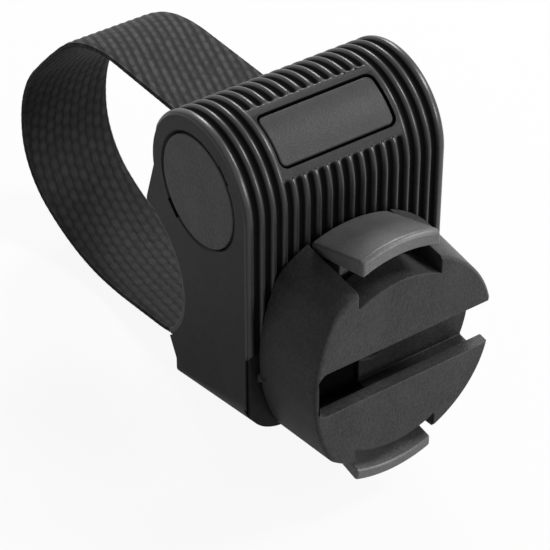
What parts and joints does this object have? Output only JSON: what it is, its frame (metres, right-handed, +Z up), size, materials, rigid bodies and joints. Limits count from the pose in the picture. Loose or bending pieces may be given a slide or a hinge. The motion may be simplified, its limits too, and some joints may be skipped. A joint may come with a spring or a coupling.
{
  "type": "bike lock bracket",
  "caption": "Strap-on bracket that carries a bicycle lock: ribbed housing with a curved tube saddle, a wound webbing strap, and a round turning holder with a T-slot and sprung release tabs.",
  "frame": {"origin": "centre of the bicycle tube that the saddle sits on, halfway across the housing", "axes": "+X along the tube to the right seen from the front, -Y out of the holder's front plate, +Z up"},
  "size_m": [0.0535, 0.1381, 0.0883],
  "materials": {
    "housing_black": "satin",
    "badge_grey": "satin",
    "cap_grey": "matte",
    "holder_grey": "satin",
    "lever_grey": "satin",
    "inner_plastic": "satin",
    "webbing": "woven",
    "saddle_rubber": "matte",
    "steel": "brushed"
  },
  "bodies": {
    "bracket": {"housing": "housing_black", "badge_plate": "badge_grey", "saddle_pad": "saddle_rubber", "strap": "webbing", "anchor_pin": "steel", "bearing_plate": "inner_plastic", "pawl_leaf": "steel", "pivot_bolt": "steel", "pivot_nut": "steel", "friction_washer": "saddle_rubber"},
    "spool": {"spool": "inner_plastic", "ratchet_wheel": "steel", "strap_winding": "webbing"},
    "cap": {"side_cap": "cap_grey"},
    "holder": {"holder_body": "holder_grey", "holder_back_plate": "inner_plastic", "upper_lever_pin": "steel", "lower_lever_pin": "steel", "upper_lever_spring": "steel", "lower_lever_spring": "steel"},
    "upper_lever": {"upper_lever": "lever_grey"},
    "lower_lever": {"lower_lever": "lever_grey"}
  },
  "joints": [
    {"name": "spool_turn", "type": "hinge", "parent": "bracket", "child": "spool", "pos_m": [0, -0.025, 0.0322], "axis": [1, 0, 0], "range_deg": [0, 600], "deforming": ["pawl_leaf"]},
    {"name": "cap_pull", "type": "slide", "parent": "bracket", "child": "cap", "axis": [-1, 0, 0], "range_m": [0, 0.015]},
    {"name": "holder_turn", "type": "hinge", "parent": "bracket", "child": "holder", "pos_m": [0, -0.05, -0.0019], "axis": [0, -1, 0], "continuous": true},
    {"name": "upper_release", "type": "hinge", "parent": "holder", "child": "upper_lever", "pos_m": [0, -0.04808, 0.0171], "axis": [1, 0, 0], "range_deg": [0, 10], "stiffness_Nm_per_rad": 0.5, "springref_deg": -11.46, "deforming": ["upper_lever_spring"]},
    {"name": "lower_release", "type": "hinge", "parent": "holder", "child": "lower_lever", "pos_m": [0, -0.04808, -0.0209], "axis": [-1, 0, 0], "range_deg": [0, 10], "stiffness_Nm_per_rad": 0.5, "springref_deg": -11.46, "deforming": ["lower_lever_spring"]}
  ]
}
